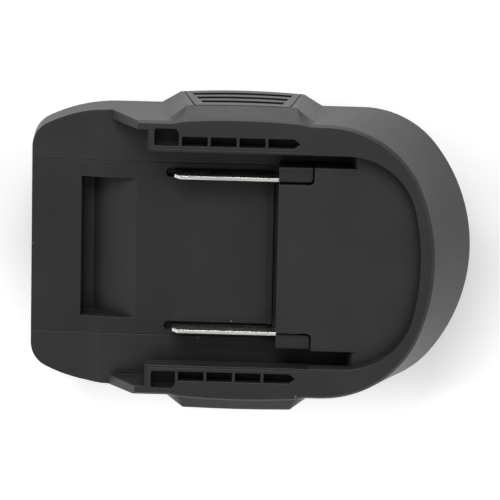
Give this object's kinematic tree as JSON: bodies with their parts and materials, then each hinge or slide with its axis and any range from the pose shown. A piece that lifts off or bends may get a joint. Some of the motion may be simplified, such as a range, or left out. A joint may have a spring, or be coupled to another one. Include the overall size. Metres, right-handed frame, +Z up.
{
  "type": "tool battery adapter",
  "caption": "Slide-on adapter between a battery pack and a cordless tool, with a rail receiver, power blades, a latch pocket and sprung side release buttons.",
  "frame": {"origin": "centre of the footprint, on the plane of the tool-side foot that the adapter lies on", "axes": "+Z up out of the battery receiver, +X towards the rounded nose, the way the battery slides in, +Y to the left"},
  "size_m": [0.1142, 0.082, 0.0409],
  "materials": {
    "housing_plastic": "fine matt spark texture, glass-filled nylon",
    "insert_plastic": "fine matt spark texture",
    "liner_plastic": "smooth, slightly glossy where the pack slides",
    "block_plastic": "matt",
    "button_plastic": "matt with grip grooves",
    "blade_metal": "nickel-plated brass strip",
    "contact_metal": "bare copper alloy",
    "carrier_plastic": "matt",
    "board_laminate": "solder-masked laminate",
    "capacitor_sleeve": "shrunk sleeve",
    "component_plastic": "moulded epoxy",
    "spring_steel": "bright drawn",
    "screw_steel": "black zinc",
    "wire_red": "silicone insulation",
    "wire_black": "silicone insulation"
  },
  "bodies": {
    "housing": {"upper_housing": "housing_plastic", "lower_housing": "housing_plastic", "deck_insert": "insert_plastic", "rail_liner_left": "liner_plastic", "rail_liner_right": "liner_plastic", "terminal_block_left": "block_plastic", "terminal_block_right": "block_plastic", "blade_positive": "blade_metal", "blade_negative": "blade_metal", "contact_clip_positive": "contact_metal", "contact_clip_negative": "contact_metal", "signal_clips": "contact_metal", "contact_carrier": "carrier_plastic", "circuit_board": "board_laminate", "capacitor": "capacitor_sleeve", "power_transistors": "component_plastic", "control_chip": "component_plastic", "button_spring_left": "spring_steel", "button_spring_right": "spring_steel", "board_screws": "screw_steel", "housing_screws": "screw_steel", "lead_wire_positive": "wire_red", "lead_wire_negative": "wire_black"},
    "left_button": {"release_button_left": "button_plastic", "latch_hook_left": "spring_steel"},
    "right_button": {"release_button_right": "button_plastic", "latch_hook_right": "spring_steel"}
  },
  "joints": [
    {"name": "left_button_slide", "type": "slide", "parent": "housing", "child": "left_button", "axis": [0, -1, 0], "range_m": [0, 0.0028], "stiffness_N_per_m": 1500, "springref_m": -0.003, "deforming": ["button_spring_left"]},
    {"name": "right_button_slide", "type": "slide", "parent": "housing", "child": "right_button", "axis": [0, 1, 0], "range_m": [0, 0.0028], "stiffness_N_per_m": 1500, "springref_m": -0.003, "deforming": ["button_spring_right"]}
  ]
}
